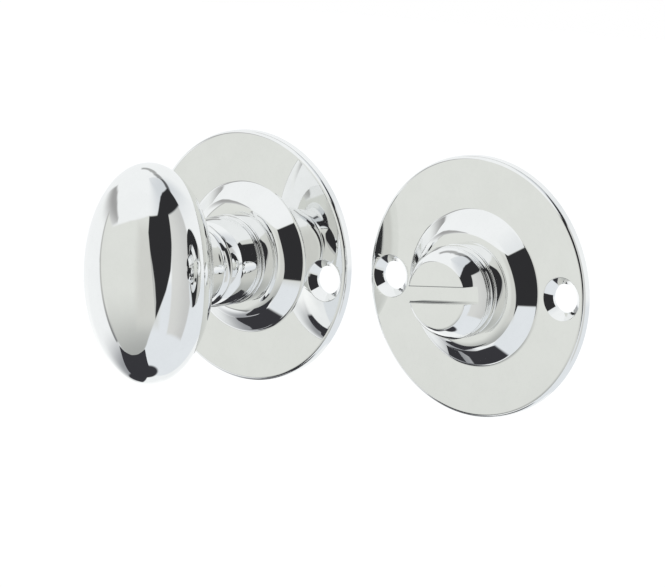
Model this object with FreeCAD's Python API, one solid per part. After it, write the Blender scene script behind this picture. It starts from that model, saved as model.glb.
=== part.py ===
import FreeCAD, Part
import math
import os

from FreeCAD import Vector

# Bathroom thumb turn and coin release, face-fixed on two round roses.
# Millimetres. The door lies at +Y, +Z is up and +X runs from the turn to the release.
# The origin is the centre of the turn's rose, on the face that meets the door.

# Roses, the same casting for both halves, sized outwards from the seat in the middle
plate_t = 2.0
plate_width = 10.09
plate_edge_round = 0.8
dome_h = 3.65
dome_slope_deg = 44.2
dome_land = 0.9
dome_shoulder_round = 3.35
dome_root_round = 1.0
dome_wall = 2.0
dome_side_wall = 3.2
seat_r = 8.9
seat_h = 1.65
edge_round = 0.25
release_x = 56.0

# Countersunk fixing holes, half way across the plate
screw_r = 2.75
screw_head_r = 4.1
turn_rose_lean = -8.0
release_rose_lean = 0.0

# Bearing bush and the stack that holds the shank in it
shank_r = 5.0
shank_clear = 0.05
bush_wall = 1.5
bush_inset = 0.1
bush_flange_r = 8.6
bush_flange_t = 0.8
wave_clear = 0.6
wave_w = 2.6
wave_t = 0.25
wave_h = 0.7
wave_count = 3
points_per_wave = 12
washer_w = 2.68
washer_t = 0.5
washer_clear = 0.12
clip_t = 0.8
clip_groove_depth = 0.35
clip_width = 1.1
clip_lug_r = 1.25
clip_lug_hole_r = 0.55
clip_opening_deg = 36.0
clip_clear = 0.03
shank_land = 0.55
stack_clear = 0.03

# Rings and collar above the seat, shared by turn and release
running_gap = 0.15
ring_r = 8.8
ring_groove = 0.3
ring_groove_depth = 0.4

# Thumb turn
turn_ring_h = 1.25
collar_back_r = 8.9
collar_belly = 0.12
collar_front_r = 8.4
collar_h = 7.0
waist_r = 7.35
waist_drop = 1.9
neck_flare_r = 8.0
neck_h = 0.9
neck_root = 4.7
cove_depth = 0.35
oval_height = 43.2
oval_width = 25.0
oval_depth = 25.0

# Coin release
release_ring_h = 2.25
cone_back_r = 8.9
cone_front_r = 6.45
cone_h = 4.2
slot_w = 3.2
slot_depth = 2.35
slot_lean = 5.0

# Square spindles and the pins that hold them
spindle_side = 5.0
spindle_clear = 0.05
spindle_chamfer = 0.4
spindle_reach = 20.0
turn_socket_depth = 12.0
release_socket_depth = 9.0
spindle_end_gap = 0.2
pin_r = 0.8
pin_wall = 0.25
pin_opening_deg = 50.0
pin_back = 5.2
pin_inset = 0.3

# Places along the axis, worked out from the sizes above
face_y = -plate_t
dome_y = face_y - dome_h
seat_y = dome_y - seat_h
hollow_y = dome_y + dome_wall
dome_slope = math.radians(dome_slope_deg)
dome_flat_r = seat_r + dome_land
dome_top_r = dome_flat_r + dome_shoulder_round * math.tan(dome_slope / 2)
dome_r = dome_top_r + dome_h / math.tan(dome_slope)
dome_root_r = dome_r + dome_root_round * math.tan(dome_slope / 2)
hollow_r = dome_r - dome_side_wall
rose_r = dome_r + plate_width
screw_circle_r = dome_r + plate_width / 2
bush_bore_r = shank_r + shank_clear
bush_r = bush_bore_r + bush_wall
wave_inner_r = shank_r + wave_clear
washer_inner_r = shank_r + washer_clear
flange_y = hollow_y + bush_flange_t
washer_y = flange_y + wave_h + 2 * stack_clear
clip_y = washer_y + washer_t + clip_clear
clip_back_y = clip_y + clip_t
shank_end_y = clip_back_y + clip_clear + shank_land
clip_groove_r = shank_r - clip_groove_depth
ring_y = seat_y - running_gap
pin_half = shank_r - pin_inset
collar_y = ring_y - turn_ring_h - ring_groove
collar_front_y = collar_y - collar_h
waist_y = collar_front_y - waist_drop
oval_back_y = waist_y - neck_h
oval_y = oval_back_y - oval_depth / 2


def at(r, y):
    return Vector(r, y, 0)


def line(a, b):
    return Part.LineSegment(at(*a), at(*b)).toShape()


def arc(a, middle, b):
    return Part.Arc(at(*a), at(*middle), at(*b)).toShape()


def corner_round(corner, radius, r_step, y_step):
    # Quarter round on an outer corner, from the wall to the face.
    # r_step and y_step point from the corner back into the solid.
    r, y = corner
    dip = radius * (1 - math.sqrt(0.5))
    start = (r, y + y_step * radius)
    middle = (r + r_step * dip, y + y_step * dip)
    end = (r + r_step * radius, y)
    return start, middle, end


def flank_round(flat_end, radius, sign):
    # Round between a flat and the dome's sloping flank, from the flat's end.
    # sign is 1 where the round bulges out and -1 where it is a hollow.
    r, y = flat_end
    points = []
    for turn in (0, dome_slope / 2, dome_slope):
        drop = radius * (1 - math.cos(turn))
        points.append((r + sign * radius * math.sin(turn), y + sign * drop))
    return points


def dome_edges():
    # Root hollow, straight flank and shoulder, from the plate's face to the flat top.
    root = flank_round((dome_root_r, face_y), dome_root_round, -1)
    shoulder = flank_round((dome_flat_r, dome_y), dome_shoulder_round, 1)
    return [
        line((rose_r - plate_edge_round, face_y), root[0]),
        arc(*root),
        line(root[2], shoulder[2]),
        arc(*shoulder),
        line(shoulder[0], (seat_r, dome_y)),
    ]


def joined(edges):
    wire = Part.Wire(Part.__sortEdges__(edges))
    return Part.Face(wire)


def turned(edges):
    return joined(edges).revolve(Vector(0, 0, 0), Vector(0, 1, 0), 360)


def ring(inner, outer, y_low, y_high):
    height = y_high - y_low
    along = Vector(0, 1, 0)
    disc = Part.makeCylinder(outer, height, Vector(0, y_low, 0), along)
    hole = Part.makeCylinder(inner, height, Vector(0, y_low, 0), along)
    return disc.cut(hole)


def countersunk_hole(angle_deg):
    angle = math.radians(angle_deg)
    x = screw_circle_r * math.cos(angle)
    z = screw_circle_r * math.sin(angle)
    along = Vector(0, 1, 0)
    shaft = Part.makeCylinder(screw_r, plate_t, Vector(x, face_y, z), along)
    sink_depth = screw_head_r - screw_r
    sink = Part.makeCone(screw_head_r, screw_r, sink_depth, Vector(x, face_y, z), along)
    return shaft.fuse(sink)


def rose(lean_deg):
    edge = corner_round((rose_r, face_y), plate_edge_round, -1, 1)
    lip = corner_round((seat_r, seat_y), edge_round, -1, 1)
    edges = [
        line((hollow_r, 0), (rose_r, 0)),
        line((rose_r, 0), edge[0]),
        arc(*edge),
        *dome_edges(),
        line((seat_r, dome_y), lip[0]),
        arc(*lip),
        line(lip[2], (bush_r, seat_y)),
        line((bush_r, seat_y), (bush_r, hollow_y)),
        line((bush_r, hollow_y), (hollow_r, hollow_y)),
        line((hollow_r, hollow_y), (hollow_r, 0)),
    ]
    body = turned(edges)
    for side in (0, 180):
        body = body.cut(countersunk_hole(lean_deg + side))
    return body


def bush():
    barrel = ring(bush_bore_r, bush_r, seat_y + bush_inset, flange_y)
    flange = ring(bush_r, bush_flange_r, hollow_y, flange_y)
    return barrel.fuse(flange).removeSplitter()


def wave_washer():
    # A flat section swept round a path that rises and falls wave_count times.
    middle_r = wave_inner_r + wave_w / 2
    swing = (wave_h - wave_t) / 2
    middle_y = flange_y + stack_clear + wave_h / 2
    steps = points_per_wave * wave_count
    path_points = []
    for i in range(steps):
        angle = 2 * math.pi * i / steps
        rise = middle_y + swing * math.cos(wave_count * angle)
        path_points.append(Vector(middle_r * math.cos(angle), rise, middle_r * math.sin(angle)))
    path = Part.BSplineCurve()
    path.interpolate(path_points, PeriodicFlag=True)
    y_start = middle_y + swing
    corners = [
        Vector(middle_r - wave_w / 2, y_start - wave_t / 2, 0),
        Vector(middle_r + wave_w / 2, y_start - wave_t / 2, 0),
        Vector(middle_r + wave_w / 2, y_start + wave_t / 2, 0),
        Vector(middle_r - wave_w / 2, y_start + wave_t / 2, 0),
    ]
    section = Part.makePolygon(corners + corners[:1])
    sweep = Part.BRepOffsetAPI.MakePipeShell(Part.Wire(path.toShape()))
    sweep.setBiNormalMode(Vector(0, 1, 0))
    sweep.add(section)
    sweep.build()
    sweep.makeSolid()
    return sweep.shape()


def plain_washer():
    return ring(washer_inner_r, washer_inner_r + washer_w, washer_y, washer_y + washer_t)


def circlip():
    # Open ring with two pierced lugs at the ends of its opening.
    half = math.radians(clip_opening_deg / 2)
    body = ring(clip_groove_r, clip_groove_r + clip_width, clip_y, clip_back_y)
    lug_r = clip_groove_r + clip_lug_r
    along = Vector(0, 1, 0)
    reach = 2 * lug_r
    wedge = Part.makePolygon([
        Vector(0, clip_y, 0),
        Vector(reach * math.cos(half), clip_y, reach * math.sin(half)),
        Vector(reach * math.cos(half), clip_y, -reach * math.sin(half)),
        Vector(0, clip_y, 0),
    ])
    body = body.cut(Part.Face(wedge).extrude(Vector(0, clip_t, 0)))
    lug_angle = half + math.asin(clip_lug_r / lug_r)
    for sign in (-1, 1):
        place = Vector(lug_r * math.cos(lug_angle), clip_y, sign * lug_r * math.sin(lug_angle))
        lug = Part.makeCylinder(clip_lug_r, clip_t, place, along)
        groove = Part.makeCylinder(clip_groove_r, clip_t, Vector(0, clip_y, 0), along)
        body = body.fuse(lug.cut(groove))
        body = body.cut(Part.makeCylinder(clip_lug_hole_r, clip_t, place, along))
    return body.removeSplitter()


def shank_edges(top_y):
    # Outline of the hollow-backed shank from the axis at its end up to the base ring.
    groove_front = clip_y - clip_clear
    groove_back = clip_back_y + clip_clear
    return [
        line((0, shank_end_y), (shank_r, shank_end_y)),
        line((shank_r, shank_end_y), (shank_r, groove_back)),
        line((shank_r, groove_back), (clip_groove_r, groove_back)),
        line((clip_groove_r, groove_back), (clip_groove_r, groove_front)),
        line((clip_groove_r, groove_front), (shank_r, groove_front)),
        line((shank_r, groove_front), (shank_r, top_y)),
    ]


def base_ring_edges(height):
    # Flat ring that runs on the rose's seat, with a fine groove in front of it.
    front = ring_y - height
    back_round = corner_round((ring_r, ring_y), edge_round, -1, -1)
    front_round = corner_round((ring_r, front), edge_round, -1, 1)
    groove_r = ring_r - ring_groove_depth
    return [
        line((shank_r, ring_y), back_round[2]),
        arc(*back_round),
        line(back_round[0], front_round[0]),
        arc(*front_round),
        line(front_round[2], (groove_r, front)),
        line((groove_r, front), (groove_r, front - ring_groove)),
    ]


def socket(depth):
    side = spindle_side + 2 * spindle_clear
    low = Vector(-side / 2, shank_end_y - depth, -side / 2)
    return Part.makeBox(side, depth, side, low)


def pin_hole():
    low = Vector(0, -pin_back, -shank_r)
    return Part.makeCylinder(pin_r, 2 * shank_r, low, Vector(0, 0, 1))


def turn_knob():
    groove_r = ring_r - ring_groove_depth
    back = corner_round((collar_back_r, collar_y), edge_round, -1, -1)
    front = corner_round((collar_front_r, collar_front_y), edge_round, -1, 1)
    belly_r = (collar_back_r + collar_front_r) / 2 + collar_belly
    waist = (waist_r, waist_y)
    cove_r = (front[2][0] + waist_r) / 2 - cove_depth
    cove = (cove_r, (collar_front_y + waist_y) / 2 + cove_depth / 2)
    neck_end = (neck_flare_r, oval_back_y - neck_root)
    flare = ((waist_r + neck_flare_r) / 2 - cove_depth / 2, (waist_y + neck_end[1]) / 2)
    edges = shank_edges(ring_y) + base_ring_edges(turn_ring_h) + [
        line((groove_r, collar_y), back[2]),
        arc(*back),
        arc(back[0], (belly_r, (collar_y + collar_front_y) / 2), front[0]),
        arc(*front),
        arc(front[2], cove, waist),
        arc(waist, flare, neck_end),
        line(neck_end, (0, neck_end[1])),
        line((0, neck_end[1]), (0, shank_end_y)),
    ]
    body = turned(edges).fuse(oval_grip())
    body = body.cut(socket(turn_socket_depth))
    return body.cut(pin_hole()).removeSplitter()


def oval_grip():
    # A ball stretched to the oval's own height and depth.
    ball = Part.makeSphere(oval_width / 2)
    stretch = FreeCAD.Matrix()
    stretch.scale(1, oval_depth / oval_width, oval_height / oval_width)
    oval = ball.transformGeometry(stretch)
    oval.translate(Vector(0, oval_y, 0))
    return oval


def release_button():
    groove_r = ring_r - ring_groove_depth
    cone_back = ring_y - release_ring_h - ring_groove
    cone_front = cone_back - cone_h
    lip = cone_front_r - edge_round
    edges = shank_edges(ring_y) + base_ring_edges(release_ring_h) + [
        line((groove_r, cone_back), (cone_back_r, cone_back)),
        line((cone_back_r, cone_back), (cone_front_r, cone_front + edge_round)),
        line((cone_front_r, cone_front + edge_round), (lip, cone_front)),
        line((lip, cone_front), (0, cone_front)),
        line((0, cone_front), (0, shank_end_y)),
    ]
    body = turned(edges)
    low = Vector(-cone_back_r, cone_front, -slot_w / 2)
    slot = Part.makeBox(2 * cone_back_r, slot_depth, slot_w, low)
    slot.rotate(Vector(0, 0, 0), Vector(0, 1, 0), -slot_lean)
    body = body.cut(slot).cut(socket(release_socket_depth))
    return body.cut(pin_hole()).removeSplitter()


def spindle(socket_depth):
    half = spindle_side / 2
    cut = half - spindle_chamfer
    corners = [(half, cut), (cut, half), (-cut, half), (-half, cut),
               (-half, -cut), (-cut, -half), (cut, -half), (half, -cut)]
    low_y = shank_end_y - socket_depth + spindle_end_gap
    points = [Vector(x, low_y, z) for x, z in corners]
    face = Part.Face(Part.makePolygon(points + points[:1]))
    bar = face.extrude(Vector(0, spindle_reach - low_y, 0))
    return bar.cut(pin_hole())


def spindle_pin():
    # Spring pin: a thin tube, open along one side.
    low = Vector(0, -pin_back, -pin_half)
    up = Vector(0, 0, 1)
    tube = Part.makeCylinder(pin_r, 2 * pin_half, low, up)
    tube = tube.cut(Part.makeCylinder(pin_r - pin_wall, 2 * pin_half, low, up))
    opening = Part.makeCylinder(2 * pin_r, 2 * pin_half, low, up, pin_opening_deg)
    return tube.cut(opening)


def half_set(name, rose_lean, moving_name, moving, socket_depth):
    return {
        name + "_rose": rose(rose_lean),
        name + "_bush": bush(),
        name + "_wave_washer": wave_washer(),
        name + "_washer": plain_washer(),
        name + "_circlip": circlip(),
        moving_name: moving,
        name + "_spindle": spindle(socket_depth),
        name + "_spindle_pin": spindle_pin(),
    }


def export(nodes, x_shift):
    for name, shape in nodes.items():
        shape.translate(Vector(x_shift, 0, 0))
        if not shape.isValid() or len(shape.Solids) != 1:
            raise ValueError(name + " is not one valid solid")
        shape.Solids[0].exportStep("parts/" + name + ".step")
        print(name, round(shape.Volume, 1))


os.makedirs("parts", exist_ok=True)
export(half_set("turn", turn_rose_lean, "turn_knob", turn_knob(), turn_socket_depth), 0)
export(half_set("release", release_rose_lean, "release_button", release_button(),
                release_socket_depth), release_x)
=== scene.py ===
import bmesh
import bpy
import math
from mathutils import Matrix, Vector


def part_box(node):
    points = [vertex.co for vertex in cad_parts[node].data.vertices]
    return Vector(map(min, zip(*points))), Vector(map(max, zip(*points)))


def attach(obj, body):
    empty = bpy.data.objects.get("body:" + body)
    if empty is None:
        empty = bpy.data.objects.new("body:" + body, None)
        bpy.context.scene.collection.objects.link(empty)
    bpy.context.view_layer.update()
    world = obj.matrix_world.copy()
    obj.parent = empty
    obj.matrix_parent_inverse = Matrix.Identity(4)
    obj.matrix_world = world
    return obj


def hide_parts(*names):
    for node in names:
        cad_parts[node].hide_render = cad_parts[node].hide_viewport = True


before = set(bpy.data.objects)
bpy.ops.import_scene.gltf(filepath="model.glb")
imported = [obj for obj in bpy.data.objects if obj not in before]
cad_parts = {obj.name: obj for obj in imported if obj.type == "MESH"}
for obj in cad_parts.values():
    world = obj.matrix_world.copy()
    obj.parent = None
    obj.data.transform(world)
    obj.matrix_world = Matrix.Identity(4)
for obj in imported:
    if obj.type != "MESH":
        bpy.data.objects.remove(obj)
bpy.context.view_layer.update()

mm = 0.001


# Shader maths: a Value holds one output socket and writes nodes from Python expressions
class Value:
    def __init__(self, tree, socket):
        self.tree = tree
        self.socket = socket

    def node(self, kind, settings=None, inputs=None, out=0):
        made = self.tree.nodes.new("ShaderNode" + kind)
        for name, value in (settings or {}).items():
            setattr(made, name, value)
        for name, value in (inputs or {}).items():
            if isinstance(value, Value):
                self.tree.links.new(value.socket, made.inputs[name])
            else:
                made.inputs[name].default_value = value
        return Value(self.tree, made.outputs[out])

    def maths(self, operation, *others):
        settings = {"operation": operation}
        return self.node("Math", settings, dict(enumerate((self,) + others)))

    def __add__(self, other):
        return self.maths("ADD", other)

    def __radd__(self, other):
        return self.maths("ADD", other)

    def __sub__(self, other):
        return self.maths("SUBTRACT", other)

    def __rsub__(self, other):
        return (self * -1.0).maths("ADD", other)

    def __mul__(self, other):
        return self.maths("MULTIPLY", other)

    def __rmul__(self, other):
        return self.maths("MULTIPLY", other)

    def __truediv__(self, other):
        return self.maths("DIVIDE", other)

    def largest(self, other):
        return self.maths("MAXIMUM", other)

    def smallest(self, other):
        return self.maths("MINIMUM", other)

    def softStep(self, low, high):
        settings = {"interpolation_type": "SMOOTHSTEP"}
        inputs = {"Value": self, "From Min": low, "From Max": high}
        return self.node("MapRange", settings, inputs)

    def dot(self, direction):
        settings = {"operation": "DOT_PRODUCT"}
        return self.node("VectorMath", settings, {0: self, 1: tuple(direction)}, out="Value")

    def mixColour(self, dark, light):
        # self is the factor: 0 gives dark and 1 gives light
        inputs = {"Factor": self, 6: dark, 7: light}
        return self.node("Mix", {"data_type": "RGBA"}, inputs, out=2)

    def noise(self, size, detail):
        return self.node("TexNoise", None, {"Vector": self, "Scale": size, "Detail": detail})

    def bump(self, strength, height):
        # self is the relief, and height is its full height in metres
        return self.node("Bump", None, {"Strength": strength, "Distance": height, "Height": self})


def colour(red, green, blue):
    return (red, green, blue, 1.0)


def newMaterial(name):
    made = bpy.data.materials.new(name)
    made.use_nodes = True
    made.node_tree.nodes.clear()
    place = made.node_tree.nodes.new("ShaderNodeTexCoord")
    return made, Value(made.node_tree, place.outputs["Object"])


def between(ends, mask):
    # The first end where mask is 0 and the second where it is 1
    return mask * (ends[1] - ends[0]) + ends[0]


def finishMaterial(made, inputs, fixed):
    tree = made.node_tree
    shader = tree.nodes.new("ShaderNodeBsdfPrincipled")
    for name, value in inputs.items():
        if isinstance(value, Value):
            tree.links.new(value.socket, shader.inputs[name])
        else:
            shader.inputs[name].default_value = value
    for name, value in fixed.items():
        shader.inputs[name].default_value = value
    output = tree.nodes.new("ShaderNodeOutputMaterial")
    tree.links.new(shader.outputs[0], output.inputs["Surface"])
    return made


# Finishes: a noise is (size, detail), a bump is (strength, height in metres) and rough is (least, most)
chromeLook = {
    "deep": (0.905, 0.91, 0.905),
    "bright": (0.925, 0.93, 0.925),
    "rough": (0.012, 0.03),
    "haze": (240.0, 4.0),
    "wipe": (1300.0, 2.0),
    "hazeShare": 0.7,
    "edges": (0.35, 0.65),
    "wave": (130.0, 1.0),
    "bump": (1.0, 0.0000012),
    # Painted shade: the dark colour given to the release's slot, where the finish is also rougher
    "dullAndPaintedShade": (0.16, 0.165, 0.18),
    "dullRough": 0.2,
}


def polishedChrome(name, dullAndShadeMask=None):
    # The mask, a function of the place, is 1 in the slot, where the metal gets a rougher finish and a darker
    # colour that is painted shade
    look = chromeLook
    made, place = newMaterial(name)
    haze = place.noise(*look["haze"])
    wipe = place.noise(*look["wipe"])
    mask = (haze * look["hazeShare"] + wipe * (1 - look["hazeShare"])).softStep(*look["edges"])
    shade = mask.mixColour(colour(*look["bright"]), colour(*look["deep"]))
    rough = between(look["rough"], mask)
    if dullAndShadeMask:
        dullAndPaintedShade = dullAndShadeMask(place)
        shade = dullAndPaintedShade.mixColour(shade, colour(*look["dullAndPaintedShade"]))
        rough = rough + dullAndPaintedShade * look["dullRough"]
    relief = place.noise(*look["wave"]).bump(*look["bump"])
    inputs = {"Base Color": shade, "Roughness": rough, "Normal": relief}
    return finishMaterial(made, inputs, {"Metallic": 1.0})


nylonLook = {
    "light": (0.82, 0.81, 0.76),
    "dark": (0.76, 0.74, 0.67),
    "clouds": (300.0, 3.0),
    "edges": (0.3, 0.7),
    "grain": (4000.0, 2.0),
    "bump": (0.3, 0.00002),
    "rough": (0.38, 0.53),
    "refraction": 1.53,
}


def naturalNylon():
    look = nylonLook
    made, place = newMaterial("natural_nylon")
    clouds = place.noise(*look["clouds"])
    shade = clouds.softStep(*look["edges"]).mixColour(colour(*look["light"]), colour(*look["dark"]))
    relief = place.noise(*look["grain"]).bump(*look["bump"])
    inputs = {"Base Color": shade, "Roughness": between(look["rough"], clouds), "Normal": relief}
    return finishMaterial(made, inputs, {"Metallic": 0.0, "IOR": look["refraction"]})


zincLook = {
    "light": (0.70, 0.71, 0.72),
    "dark": (0.52, 0.53, 0.55),
    "drawn": (2600.0, 3.0),
    "stretch": 0.03,
    "clouds": (350.0, 4.0),
    "drawnShare": 0.6,
    "edges": (0.35, 0.65),
    "bump": (0.5, 0.00001),
    "rough": (0.24, 0.38),
}


def zincPlate():
    # Drawn bar: fine lines run along its length
    look = zincLook
    made, place = newMaterial("zinc_plated_steel")
    stretched = place.node("Mapping", None, {"Vector": place, "Scale": (1.0, look["stretch"], 1.0)})
    lines = stretched.noise(*look["drawn"])
    clouds = place.noise(*look["clouds"])
    mask = (lines * look["drawnShare"] + clouds * (1 - look["drawnShare"])).softStep(*look["edges"])
    shade = mask.mixColour(colour(*look["dark"]), colour(*look["light"]))
    relief = lines.bump(*look["bump"])
    inputs = {"Base Color": shade, "Roughness": between(look["rough"], mask), "Normal": relief}
    return finishMaterial(made, inputs, {"Metallic": 1.0})


springLook = {
    "light": (0.40, 0.39, 0.38),
    "dark": (0.22, 0.215, 0.21),
    "mottle": (900.0, 5.0),
    "edges": (0.35, 0.65),
    "bump": (0.4, 0.00001),
    "rough": (0.3, 0.5),
}


def springSteel():
    look = springLook
    made, place = newMaterial("spring_steel")
    mottle = place.noise(*look["mottle"])
    mask = mottle.softStep(*look["edges"])
    shade = mask.mixColour(colour(*look["dark"]), colour(*look["light"]))
    relief = mottle.bump(*look["bump"])
    inputs = {"Base Color": shade, "Roughness": between(look["rough"], mask), "Normal": relief}
    return finishMaterial(made, inputs, {"Metallic": 1.0})


chrome = polishedChrome("polished_chrome")
nylon = naturalNylon()
zinc = zincPlate()
spring = springSteel()
for nodeName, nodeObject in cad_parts.items():
    finish = spring
    if nodeName.endswith("_bush"):
        finish = nylon
    if nodeName.endswith("_spindle"):
        finish = zinc
    nodeObject.data.materials.clear()
    nodeObject.data.materials.append(finish)
print("finishes made")


# Shapes are made in millimetres about the Y axis. Corners nearer than weld become one, an angle below flatDeg
# counts as flat and one over sharpDeg as an edge, and a cutter goes past what it cuts. A face looks along a
# line where the cosine between them is over facing.
making = {
    "weld": 0.0005,
    "flatDeg": 0.3,
    "sharpDeg": 28.0,
    "facing": 0.995,
    "past": 1.0,
}


def drawOutline(bm, points, closed):
    # A turned piece starts as an outline of (radius, depth) points
    corners = [bm.verts.new((r, y, 0.0)) for r, y in points]
    for first, second in zip(corners, corners[1:]):
        bm.edges.new((first, second))
    if closed:
        bm.edges.new((corners[-1], corners[0]))
    return corners


def roundCorners(bm, corners, radius, steps):
    bmesh.ops.bevel(bm, geom=corners, offset=radius, affect="VERTICES", segments=steps,
                    profile=0.5, material=-1)


def spinOutline(bm, steps):
    bmesh.ops.spin(bm, geom=bm.verts[:] + bm.edges[:], cent=(0, 0, 0), axis=(0, 1, 0), dvec=(0, 0, 0),
                   angle=2 * math.pi, steps=steps, use_merge=True)
    bmesh.ops.remove_doubles(bm, verts=bm.verts[:], dist=making["weld"])
    bmesh.ops.recalc_face_normals(bm, faces=bm.faces[:])


def meshObject(name, bm):
    mesh = bpy.data.meshes.new(name)
    bm.to_mesh(mesh)
    bm.free()
    made = bpy.data.objects.new(name, mesh)
    bpy.context.scene.collection.objects.link(made)
    return made


def combine(target, tool, operation):
    # Cuts tool out of target, or joins it on, and keeps the result in target's own mesh
    change = target.modifiers.new("combine", "BOOLEAN")
    change.operation = operation
    change.solver = "EXACT"
    change.object = tool
    result = bpy.data.meshes.new_from_object(target.evaluated_get(bpy.context.evaluated_depsgraph_get()))
    target.modifiers.clear()
    target.data = result
    bpy.data.objects.remove(tool)


def barTool(radius, low, high, steps):
    # A round bar between two points
    bm = bmesh.new()
    length = (high - low).length
    bmesh.ops.create_cone(bm, cap_ends=True, segments=steps, radius1=radius, radius2=radius, depth=length)
    turn = Vector((0, 0, 1)).rotation_difference(high - low).to_matrix().to_4x4()
    bmesh.ops.transform(bm, matrix=Matrix.Translation((low + high) / 2) @ turn, verts=bm.verts[:])
    return meshObject("tool", bm)


def boxTool(size, centre, turnAboutY=0.0):
    bm = bmesh.new()
    bmesh.ops.create_cube(bm, size=1.0)
    bmesh.ops.scale(bm, vec=size, verts=bm.verts[:])
    bmesh.ops.translate(bm, vec=centre, verts=bm.verts[:])
    bmesh.ops.transform(bm, matrix=Matrix.Rotation(turnAboutY, 4, "Y"), verts=bm.verts[:])
    return meshObject("tool", bm)


def softenEdges(piece, chosen, radius, steps):
    # Makes flat areas one face each, then rounds the edges that chosen(normal, other normal, middle) picks
    bm = bmesh.new()
    bm.from_mesh(piece.data)
    flat = math.radians(making["flatDeg"])
    bmesh.ops.dissolve_limit(bm, angle_limit=flat, verts=bm.verts[:], edges=bm.edges[:])
    bm.normal_update()
    edges = []
    for edge in bm.edges:
        if edge.is_manifold and edge.is_convex:
            first, second = [face.normal for face in edge.link_faces]
            if chosen(first, second, (edge.verts[0].co + edge.verts[1].co) / 2):
                edges.append(edge)
    bmesh.ops.bevel(bm, geom=edges, offset=radius, offset_type="OFFSET", segments=steps, profile=0.5,
                    affect="EDGES", clamp_overlap=True)
    bm.to_mesh(piece.data)
    bm.free()
    print(piece.name, "edges softened:", len(edges))


def settle(piece, centre, body, node, finish=chrome):
    # Millimetres become metres on the piece's own centre, and the piece takes the node's place
    piece.data.transform(Matrix.Translation(centre) @ Matrix.Scale(mm, 4))
    piece.data.materials.clear()
    piece.data.materials.append(finish)
    for face in piece.data.polygons:
        face.use_smooth = True
    piece.data.set_sharp_from_angle(angle=math.radians(making["sharpDeg"]))
    weighted = piece.modifiers.new("flat faces stay flat", "WEIGHTED_NORMAL")
    weighted.keep_sharp = True
    weighted.weight = 100
    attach(piece, body)
    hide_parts(node)
    print(piece.name, "made:", len(piece.data.polygons), "faces")


# Rose: a flat plate with a rounded rim, a hollow dome and a raised seat. A lean is how far the line through
# the screw holes is turned from level.
roseShape = {
    "plate": 2.0,
    "rimRound": 0.8,
    "rimSteps": 12,
    "domeHeight": 3.65,
    "slopeDeg": 44.2,
    "land": 0.9,
    "shoulderRound": 3.35,
    "shoulderSteps": 28,
    "rootRound": 1.0,
    "rootSteps": 10,
    "domeWall": 2.0,
    "sideWall": 3.2,
    "seatRadius": 8.9,
    "seatRound": 0.25,
    "seatSteps": 6,
    "boreRadius": 6.55,
    "turnLeanDeg": -8.0,
    "releaseLeanDeg": 0.0,
    "spinSteps": 288,
}

# Countersunk screw hole, with a slope of 45 degrees. Its cutter is turned slightly, which keeps its corners
# off the rose's own, so that the cut closes cleanly.
sinkShape = {
    "holeRadius": 2.75,
    "mouthRadius": 4.1,
    "mouthRound": 0.25,
    "mouthSteps": 5,
    "slopeDeg": 45.0,
    "past": 0.5,
    "turnedDeg": 1.3,
    "spinSteps": 96,
}


def swing(centre, radius, fromDeg, toDeg, steps):
    # Points on a round; 0 degrees points at the door's far side and 90 degrees away from the axis
    r, y = centre
    turns = [math.radians(fromDeg + (toDeg - fromDeg) * i / steps) for i in range(steps + 1)]
    return [(r + radius * math.sin(t), y - radius * math.cos(t)) for t in turns]


def sinkTool(across, face):
    # The hole and its countersink are one cutter
    shape = sinkShape
    depth = shape["mouthRadius"] - shape["holeRadius"]
    lip = shape["mouthRadius"] + shape["mouthRound"] * math.tan(math.radians(shape["slopeDeg"] / 2))
    front = face - shape["past"]
    outline = [(0.0, front), (lip, front)]
    middle = (lip, face + shape["mouthRound"])
    outline += swing(middle, shape["mouthRound"], 0, -shape["slopeDeg"], shape["mouthSteps"])
    hole, back = shape["holeRadius"], shape["past"]
    outline += [(hole, face + depth), (hole, back), (0.0, back)]
    bm = bmesh.new()
    drawOutline(bm, outline, closed=False)
    spinOutline(bm, shape["spinSteps"])
    turned = Matrix.Rotation(math.radians(shape["turnedDeg"]), 4, "Y")
    bmesh.ops.transform(bm, matrix=turned, verts=bm.verts[:])
    bmesh.ops.translate(bm, vec=across, verts=bm.verts[:])
    return meshObject("tool", bm)


def makeRose(name, node, leanDeg):
    shape = roseShape
    low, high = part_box(node)
    radius = (high.x - low.x) / 2 / mm
    seat = low.y / mm
    centre = Vector(((low.x + high.x) / 2, high.y, (low.z + high.z) / 2))
    face = -shape["plate"]
    top = face - shape["domeHeight"]
    hollow = top + shape["domeWall"]
    slope = math.radians(shape["slopeDeg"])
    flat = shape["seatRadius"] + shape["land"]
    foot = flat + shape["shoulderRound"] * math.tan(slope / 2) + shape["domeHeight"] / math.tan(slope)
    root = foot + shape["rootRound"] * math.tan(slope / 2)
    inside = foot - shape["sideWall"]
    points = [(shape["boreRadius"], seat), (shape["seatRadius"], seat), (shape["seatRadius"], top)]
    shoulder = (flat, top + shape["shoulderRound"])
    points += swing(shoulder, shape["shoulderRound"], 0, shape["slopeDeg"], shape["shoulderSteps"])
    bend = (root, face - shape["rootRound"])
    points += swing(bend, -shape["rootRound"], shape["slopeDeg"], 0, shape["rootSteps"])
    rim = len(points)
    points += [(radius, face), (radius, 0.0), (inside, 0.0), (inside, hollow), (shape["boreRadius"], hollow)]
    bm = bmesh.new()
    corners = drawOutline(bm, points, closed=True)
    roundCorners(bm, [corners[rim]], shape["rimRound"], shape["rimSteps"])
    roundCorners(bm, [corners[1]], shape["seatRound"], shape["seatSteps"])
    spinOutline(bm, shape["spinSteps"])
    rose = meshObject(name, bm)
    for side in (0, math.pi):
        angle = math.radians(leanDeg) + side
        across = Vector((math.cos(angle), 0, math.sin(angle))) * (radius + foot) / 2
        combine(rose, sinkTool(across, face), "DIFFERENCE")
    settle(rose, centre, "roses", node)


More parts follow.
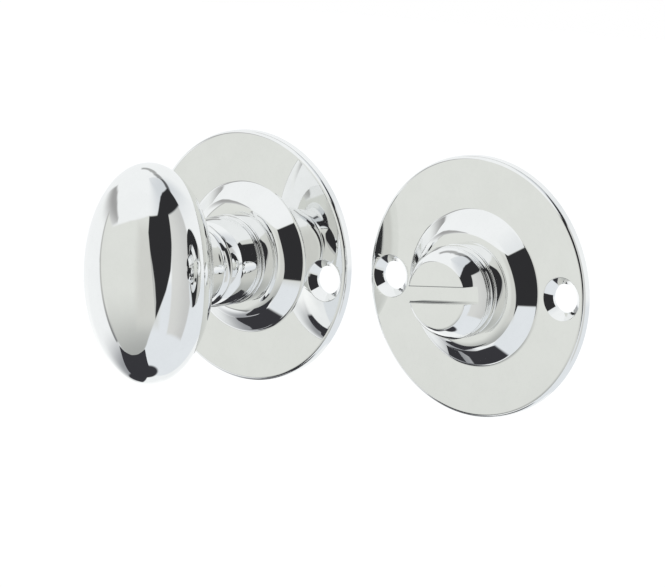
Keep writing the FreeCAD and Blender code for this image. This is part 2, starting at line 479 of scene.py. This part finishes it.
# Shank, base ring and grooves that the thumb turn and the release have in common
shankShape = {
    "end": -0.13,
    "radius": 5.0,
    "grooveRadius": 4.65,
    "clipClear": 0.03,
    "ringRadius": 8.8,
    "ringRound": 0.25,
    "ringSteps": 6,
    "gap": 0.15,
    "ringGroove": 0.3,
    "ringGrooveDepth": 0.4,
    "socket": 5.1,
    "pinRadius": 0.8,
    "pinDepth": -5.2,
    "pinSteps": 64,
    "spinSteps": 224,
}
ringCorners = (7, 8)  # of the points below: the base ring's back and front
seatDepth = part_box("turn_rose")[0].y / mm
ringBack = seatDepth - shankShape["gap"]


def clipGroove(clipNode):
    low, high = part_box(clipNode)
    return low.y / mm - shankShape["clipClear"], high.y / mm + shankShape["clipClear"]


def shankPoints(clipNode, ringHeight):
    shape = shankShape
    front, back = clipGroove(clipNode)
    ringFront = ringBack - ringHeight
    inner = shape["ringRadius"] - shape["ringGrooveDepth"]
    return [
        (0.0, shape["end"]),
        (shape["radius"], shape["end"]),
        (shape["radius"], back),
        (shape["grooveRadius"], back),
        (shape["grooveRadius"], front),
        (shape["radius"], front),
        (shape["radius"], ringBack),
        (shape["ringRadius"], ringBack),
        (shape["ringRadius"], ringFront),
        (inner, ringFront),
        (inner, ringFront - shape["ringGroove"]),
    ]


def cutShank(piece, socketDepth):
    shape = shankShape
    past = making["past"]
    size = (shape["socket"], socketDepth + past, shape["socket"])
    middle = (0, shape["end"] - socketDepth / 2 + past / 2, 0)
    combine(piece, boxTool(size, middle), "DIFFERENCE")
    reach = shape["radius"] + past / 2
    low = Vector((0, shape["pinDepth"], -reach))
    high = Vector((0, shape["pinDepth"], reach))
    combine(piece, barTool(shape["pinRadius"], low, high, shape["pinSteps"]), "DIFFERENCE")


def arcThrough(start, middle, end, steps):
    # Points after start, up to end, on the circle through three points
    (ax, ay), (bx, by), (cx, cy) = start, middle, end
    aa, bb, cc = ax * ax + ay * ay, bx * bx + by * by, cx * cx + cy * cy
    d = 2 * (ax * (by - cy) + bx * (cy - ay) + cx * (ay - by))
    ux = (aa * (by - cy) + bb * (cy - ay) + cc * (ay - by)) / d
    uy = (aa * (cx - bx) + bb * (ax - cx) + cc * (bx - ax)) / d
    radius = math.hypot(ax - ux, ay - uy)
    first = math.atan2(ay - uy, ax - ux)
    sweep = math.atan2(cy - uy, cx - ux) - first
    sweep = (sweep + math.pi) % (2 * math.pi) - math.pi
    return [(ux + radius * math.cos(first + sweep * i / steps),
             uy + radius * math.sin(first + sweep * i / steps)) for i in range(1, steps + 1)]


# Thumb turn: barrel collar, waisted neck and an upright oval. The collar's round passes through three points
# and ends in a lip, each a radius and a depth from the collar's front.
turnShape = {
    "ringHeight": 1.25,
    "collarBack": 8.9,
    "collarLength": 7.0,
    "collarRound": ((8.8, 3.4), (8.63, 1.7), (8.24, 0.0)),
    "collarLip": (7.95, -0.12),
    "collarSteps": 24,
    "waist": 7.35,
    "waistDrop": 1.9,
    "neckFlare": 8.0,
    "neckLength": 5.6,
    "cove": 0.35,
    "coveSteps": 14,
    "socketDepth": 12.0,
    "ovalSteps": 192,
    "ovalRings": 128,
}


def makeThumbTurn():
    shape = turnShape
    low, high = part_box("turn_knob")
    tall = (high.z - low.z) / mm
    wide = (high.x - low.x) / mm
    centre = Vector(((low.x + high.x) / 2, 0, (low.z + high.z) / 2))
    stand = low.y / mm + wide / 2
    points = shankPoints("turn_circlip", shape["ringHeight"])
    back = points[-1][1]
    front = back - shape["collarLength"]
    waist = (shape["waist"], front - shape["waistDrop"])
    backCorner = len(points)
    points.append((shape["collarBack"], back))
    side, nose, edge = [(r, front + y) for r, y in shape["collarRound"]]
    lip = (shape["collarLip"][0], front + shape["collarLip"][1])
    points.append(side)
    points += arcThrough(side, nose, edge, shape["collarSteps"])
    points.append(lip)
    cove = ((lip[0] + waist[0]) / 2 - shape["cove"] / 2, (lip[1] + waist[1]) / 2 + shape["cove"] / 2)
    points += arcThrough(lip, cove, waist, shape["coveSteps"])
    end = (shape["neckFlare"], waist[1] - shape["neckLength"])
    flare = ((waist[0] + end[0]) / 2 - shape["cove"] / 2, (waist[1] + end[1]) / 2)
    points += arcThrough(waist, flare, end, shape["coveSteps"])
    points.append((0.0, end[1]))
    bm = bmesh.new()
    corners = drawOutline(bm, points, closed=False)
    rounded = [corners[i] for i in (*ringCorners, backCorner)]
    roundCorners(bm, rounded, shankShape["ringRound"], shankShape["ringSteps"])
    spinOutline(bm, shankShape["spinSteps"])
    turn = meshObject("thumb_turn_chrome", bm)
    bm = bmesh.new()
    bmesh.ops.create_uvsphere(bm, u_segments=shape["ovalSteps"], v_segments=shape["ovalRings"], radius=0.5)
    bmesh.ops.scale(bm, vec=(wide, wide, tall), verts=bm.verts[:])
    bmesh.ops.translate(bm, vec=(0, stand, 0), verts=bm.verts[:])
    combine(turn, meshObject("tool", bm), "UNION")
    cutShank(turn, shape["socketDepth"])
    settle(turn, centre, "thumb_turn", "turn_knob")


# Coin release: a tapered button with a slot across its face
releaseShape = {
    "ringHeight": 2.25,
    "coneBack": 8.9,
    "coneFront": 6.45,
    "coneLength": 4.2,
    "coneBelly": 0.25,
    "coneSteps": 20,
    "faceRound": 0.35,
    "faceSteps": 8,
    "slotWidth": 3.2,
    "slotDepth": 2.35,
    "slotLeanDeg": 5.0,
    "slotRound": 0.2,
    "slotSteps": 4,
    "socketDepth": 9.0,
}

# Painted shade in the slot, with a rougher finish there: the lower wall is darkened, most of all towards the
# left, and a fine dark line is painted along the upper lip. A pair is where the painted shade starts and
# where it is full, measured across in slot widths, down in slot depths and to the side in millimetres.
slotDullAndShade = {
    "wall": {
        "across": [(-0.45, -0.49), (-0.53, -0.51)],
        "down": [(0.04, 0.12), (1.04, 1.0)],
        "side": [(9.0, -2.0)],
    },
    "line": {
        "across": [(0.49, 0.51), (0.56, 0.54)],
        "down": [(0.2, 0.1)],
    },
    "lineShare": 0.8,
}


def slotMask(measures, fades):
    steps = [measures[name].softStep(*pair) for name, pairs in fades.items() for pair in pairs]
    mask = steps[0]
    for step in steps[1:]:
        mask = mask * step
    return mask


def makeRelease():
    shape = releaseShape
    low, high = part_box("release_button")
    centre = Vector(((low.x + high.x) / 2, 0, (low.z + high.z) / 2))
    points = shankPoints("release_circlip", shape["ringHeight"])
    back = points[-1][1]
    front = back - shape["coneLength"]
    backCorner = len(points)
    points.append((shape["coneBack"], back))
    belly = ((shape["coneBack"] + shape["coneFront"]) / 2 + shape["coneBelly"],
             (back + front) / 2 - shape["coneBelly"] / 2)
    points += arcThrough(points[-1], belly, (shape["coneFront"], front), shape["coneSteps"])
    faceEdge = len(points) - 1
    points.append((0.0, front))
    bm = bmesh.new()
    corners = drawOutline(bm, points, closed=False)
    rounded = [corners[i] for i in (*ringCorners, backCorner)]
    roundCorners(bm, rounded, shankShape["ringRound"], shankShape["ringSteps"])
    roundCorners(bm, [corners[faceEdge]], shape["faceRound"], shape["faceSteps"])
    spinOutline(bm, shankShape["spinSteps"])
    button = meshObject("coin_release_chrome", bm)
    past = making["past"]
    size = (2 * shape["coneBack"] + past, shape["slotDepth"] + past, shape["slotWidth"])
    middle = (0, front + shape["slotDepth"] / 2 - past / 2, 0)
    lean = -math.radians(shape["slotLeanDeg"])
    combine(button, boxTool(size, middle, lean), "DIFFERENCE")
    wall = Vector((math.sin(lean), 0, math.cos(lean)))

    def onSlotLip(first, second, place):
        along = max(abs(first.dot(wall)), abs(second.dot(wall)))
        return along > making["facing"] and place.y < front + shape["slotDepth"]

    softenEdges(button, onSlotLip, shape["slotRound"], shape["slotSteps"])
    cutShank(button, shape["socketDepth"])

    def insideSlot(place):
        measures = {
            "across": (place.dot(wall) - centre.dot(wall)) / mm / shape["slotWidth"],
            "down": (place.dot((0, 1, 0)) / mm - front) / shape["slotDepth"],
            "side": (place.dot((1, 0, 0)) - centre.x) / mm,
        }
        # Painted shade: the lower wall and a dark line along the upper lip are darkened here
        line = slotMask(measures, slotDullAndShade["line"]) * slotDullAndShade["lineShare"]
        return slotMask(measures, slotDullAndShade["wall"]).largest(line)

    # Chrome whose slot is rougher and darkened with painted shade
    finish = polishedChrome("chrome_with_dull_painted_shade_slot", insideSlot)
    settle(button, centre, "coin_release", "release_button", finish)


makeRose("turn_rose_chrome", "turn_rose", roseShape["turnLeanDeg"])
makeRose("release_rose_chrome", "release_rose", roseShape["releaseLeanDeg"])
makeThumbTurn()
makeRelease()


# Studio: a pale floor, plain even light, and a light tent round the set that only the polished metal shows
studio = {
    "floorDrop": 0.32,
    "floorSize": 6.0,
    "floorColour": (0.86, 0.86, 0.85),
    "floorCloud": (0.88, 0.88, 0.87),
    "floorNoise": (3.0, 2.0),
    "floorRough": 0.8,
    "floorLift": (0.27, 0.27, 0.28),
    "roomLight": (0.86, 0.87, 0.88),
    "tentRadius": 0.300,
    "tentCentre": (0.0, -0.031, 0.0),
    "tentSteps": 6,
    "tentShade": (238, 240, 241),
    "metalReturns": 0.915,
}

# Cards on the tent. A card has no inward corner, and its corners are (azimuth, elevation) in degrees,
# counter-clockwise: azimuth 0 is straight in front of the thumb turn and 90 is to its right. A shade is what
# the metal shows, from 0 to 255. Where a card has a fade, it changes to a second shade between two elevations
# or azimuths. A later card covers an earlier one.
studioCards = [
    {"name": "ceiling, darker to the right", "shade": (208, 212, 216), "soft": 24,
     "corners": [(60, 34), (150, 34), (150, 90), (60, 90)]},
    {"name": "bright side", "shade": (254, 255, 255), "soft": 14,
     "corners": [(-155, -50), (-110, -50), (-105, -18), (-155, -18)]},
    {"name": "white table edge", "shade": (222, 226, 230), "soft": 3,
     "corners": [(26, -90), (178, -90), (178, -8), (26, -8)]},
    {"name": "left foot", "shade": (150, 152, 156), "soft": 14,
     "corners": [(-124, -75), (-45, -70), (-40, -44), (-78, -42), (-122, -46)]},
    {"name": "far floor", "shade": (54, 54, 58), "soft": 2,
     "corners": [(-190, -95), (190, -95), (190, -77), (-190, -77)]},
    {"name": "far floor, left", "shade": (54, 54, 58), "soft": 1.5,
     "corners": [(-130, -95), (-60, -95), (-62, -78), (-110, -49), (-114, -48), (-130, -52)]},
    {"name": "rear frame, right", "shade": (92, 93, 95), "soft": 2,
     "corners": [(122, 49), (150, 65), (150, 73), (122, 59)]},
    {"name": "rear frame, top right", "shade": (150, 151, 152), "soft": 2.5,
     "corners": [(147, 64), (181, 69), (181, 77), (147, 74)]},
    {"name": "rear frame, top left", "shade": (165, 166, 166), "soft": 2.5,
     "corners": [(-181, 69), (-148, 62), (-146, 71), (-181, 77)]},
    {"name": "rear frame, corner", "shade": (165, 166, 166), "soft": 2.5,
     "corners": [(-150, 63), (-124, 50), (-119, 57), (-147, 72)]},
    {"name": "left panel's shaded top", "shade": (238, 240, 240), "soft": 2,
     "fade": ("elevation", 13, 31, (160, 160, 160)),
     "corners": [(-106, 12), (-56, 12), (-29, 25), (-30, 28), (-50, 35), (-70, 37), (-88, 33)]},
    {"name": "seam", "shade": (172, 174, 172), "soft": 1.5,
     "fade": ("elevation", -40, -19, (218, 220, 216)),
     "corners": [(-40, -42), (-30, -44), (-36, 20), (-58, 23), (-54, 2), (-47.5, -20)]},
    {"name": "seam's upper fold", "shade": (184, 185, 183), "soft": 1.0,
     "corners": [(-56, -1), (-52.5, -1), (-58, 24), (-62, 24)]},
    {"name": "seam's lower fold", "shade": (128, 129, 130), "soft": 1.0,
     "fade": ("elevation", -40, -8, (184, 185, 183)),
     "corners": [(-43, -42), (-38, -42), (-52.5, 1), (-56, 1)]},
    {"name": "front panel", "shade": (165, 167, 165), "soft": 1.2,
     "fade": ("elevation", -60, -10, (219, 221, 217)),
     "corners": [(-36, -48), (-27, -56), (-5, -63), (20, -62), (35, -52), (71, -12.5), (71, 38.5), (40, 38.5),
                 (0, 31.5), (-25, 24.5), (-45, 18), (-41.5, -10)]},
    {"name": "front panel, darker to the right", "shade": (205, 206, 202), "soft": 9,
     "corners": [(20, -34), (58, -34), (58, 30), (20, 30)]},
    {"name": "right panel", "shade": (211, 212, 210), "soft": 2,
     "fade": ("azimuth", 85, 120, (196, 197, 196)),
     "corners": [(81, -41), (121, -41), (121, 36), (81, 36)]},
    {"name": "black flag", "shade": (46, 46, 48), "soft": 0.8,
     "corners": [(54, -31), (71, -13), (81.5, 2.5), (84, 15), (88, 28), (88, 38.2), (42, 38.2), (40, 25),
                 (44, 8)]},
    {"name": "front panel's right edge", "shade": (188, 189, 187), "soft": 0.8,
     "corners": [(43.2, 12), (53.4, -31), (53.8, -20), (51.2, -8), (47.2, 3)]},
    {"name": "black flag's arm", "shade": (46, 46, 48), "soft": 1.2,
     "corners": [(60, 35.5), (124, 35.5), (124, 57), (95, 58.5), (82, 55.5), (72, 49), (60, 37)]},
]


# Black table close below the set: height and corners, as (x, y), are in millimetres
tableCard = {
    "height": -85.0,
    "shade": (54, 54, 58),
    "corners": [(-48, -97), (-30, -88), (-12, -82), (7, -80), (30, -81), (19, -58), (11, -39), (4, -20),
                (-14, -24), (-36, -28), (-42, -39), (-43, -59), (-44, -79)],
}


def asLight(shade):
    # Light that the polished metal shows as this shade, through the picture's sRGB curve
    return colour(*[(((v / 255) + 0.055) / 1.055) ** 2.4 / studio["metalReturns"] for v in shade])


def lightCard(card, made, light):
    # The card gives light and reflects none, and is seen in polished metal and nowhere else
    fixed = {"Base Color": colour(0, 0, 0), "Specular IOR Level": 0.0, "Emission Strength": 1.0}
    finishMaterial(made, {"Emission Color": light}, fixed)
    card.data.materials.append(made)
    card.visible_camera = False
    card.visible_diffuse = False
    card.visible_shadow = False


def backgroundRay(tree):
    # 1 for a ray that should find a white background
    path = tree.nodes.new("ShaderNodeLightPath")
    kinds = ("Is Camera Ray", "Is Glossy Ray", "Is Transmission Ray")
    camera, glossy, transmission = [Value(tree, path.outputs[kind]) for kind in kinds]
    return camera.largest(glossy).largest(transmission)


def insideCard(azimuth, elevation, corners, soft):
    inside = None
    for (ax, ay), (bx, by) in zip(corners, corners[1:] + corners[:1]):
        length = math.hypot(bx - ax, by - ay)
        across, up = (ay - by) / length, (bx - ax) / length
        side = azimuth * across + elevation * up - (ax * across + ay * up)
        inside = side if inside is None else inside.smallest(side)
    return inside.softStep(-soft, soft)


def makeFloor():
    bm = bmesh.new()
    bmesh.ops.create_grid(bm, x_segments=1, y_segments=1, size=studio["floorSize"] / 2)
    bmesh.ops.translate(bm, vec=(0, 0, -studio["floorDrop"]), verts=bm.verts[:])
    floor = meshObject("floor", bm)
    made, place = newMaterial("pale_floor")
    clouds = place.noise(*studio["floorNoise"])
    shade = clouds.mixColour(colour(*studio["floorColour"]), colour(*studio["floorCloud"]))
    lift = backgroundRay(made.node_tree).mixColour(colour(0, 0, 0), colour(*studio["floorLift"]))
    inputs = {"Base Color": shade, "Roughness": studio["floorRough"], "Emission Color": lift}
    finishMaterial(made, inputs, {"Metallic": 0.0, "Emission Strength": 1.0})
    floor.data.materials.append(made)


def makeTent():
    centre = Vector(studio["tentCentre"])
    bm = bmesh.new()
    bmesh.ops.create_icosphere(bm, subdivisions=studio["tentSteps"], radius=studio["tentRadius"])
    bmesh.ops.translate(bm, vec=centre, verts=bm.verts[:])
    made, place = newMaterial("light_tent")
    direction = place.node("VectorMath", {"operation": "SUBTRACT"}, {0: place, 1: tuple(centre)})
    direction = direction.node("VectorMath", {"operation": "NORMALIZE"}, {0: direction})
    right, ahead, up = direction.dot((1, 0, 0)), direction.dot((0, -1, 0)), direction.dot((0, 0, 1))
    azimuth = right.maths("ARCTAN2", ahead) * math.degrees(1)
    elevation = up.maths("ARCSINE") * math.degrees(1)
    light = asLight(studio["tentShade"])
    for card in studioCards:
        shade = asLight(card["shade"])
        if "fade" in card:
            along, start, end, other = card["fade"]
            measure = elevation if along == "elevation" else azimuth
            shade = measure.softStep(start, end).mixColour(shade, asLight(other))
        light = insideCard(azimuth, elevation, card["corners"], card["soft"]).mixColour(light, shade)
    lightCard(meshObject("light_tent", bm), made, light)


def makeTable():
    bm = bmesh.new()
    bm.faces.new([bm.verts.new((x, y, tableCard["height"])) for x, y in tableCard["corners"]])
    bmesh.ops.scale(bm, vec=(mm, mm, mm), verts=bm.verts[:])
    made = newMaterial("black_table")[0]
    lightCard(meshObject("black_table", bm), made, asLight(tableCard["shade"]))


def makeWorld():
    world = bpy.data.worlds.new("studio")
    bpy.context.scene.world = world
    world.use_nodes = True
    tree = world.node_tree
    tree.nodes.clear()
    light = backgroundRay(tree).mixColour(colour(*studio["roomLight"]), colour(1, 1, 1))
    background = tree.nodes.new("ShaderNodeBackground")
    tree.links.new(light.socket, background.inputs["Color"])
    output = tree.nodes.new("ShaderNodeOutputWorld")
    tree.links.new(background.outputs[0], output.inputs["Surface"])


makeFloor()
makeTent()
makeTable()
makeWorld()

# Camera: to the right of the set and a little above it, with a long lens
cameraPlace = {
    "azimuthDeg": 38.18,
    "elevationDeg": 9.77,
    "rollDeg": 0.54,
    "distance": 0.739,
    "aim": (0.02032, 0.0, -0.0055),
    "focalPixels": 3781.0,
    "pictureWidth": 665.0,
    "sensor": 36.0,
    "nearest": 0.01,
    "farthest": 20.0,
}


def makeCamera():
    view = cameraPlace
    azimuth = math.radians(view["azimuthDeg"])
    elevation = math.radians(view["elevationDeg"])
    back = Vector((math.sin(azimuth) * math.cos(elevation), -math.cos(azimuth) * math.cos(elevation),
                   math.sin(elevation)))
    data = bpy.data.cameras.new("camera")
    data.sensor_width = view["sensor"]
    data.lens = view["focalPixels"] / view["pictureWidth"] * view["sensor"]
    data.clip_start = view["nearest"]
    data.clip_end = view["farthest"]
    camera = bpy.data.objects.new("camera", data)
    bpy.context.scene.collection.objects.link(camera)
    camera.location = Vector(view["aim"]) + back * view["distance"]
    level = (-back).to_track_quat("-Z", "Y").to_matrix().to_4x4()
    roll = Matrix.Rotation(math.radians(view["rollDeg"]), 4, "Z")
    camera.rotation_euler = (level @ roll).to_euler()
    bpy.context.scene.camera = camera


makeCamera()
bpy.context.scene.view_settings.view_transform = "Standard"
print("studio and camera made")
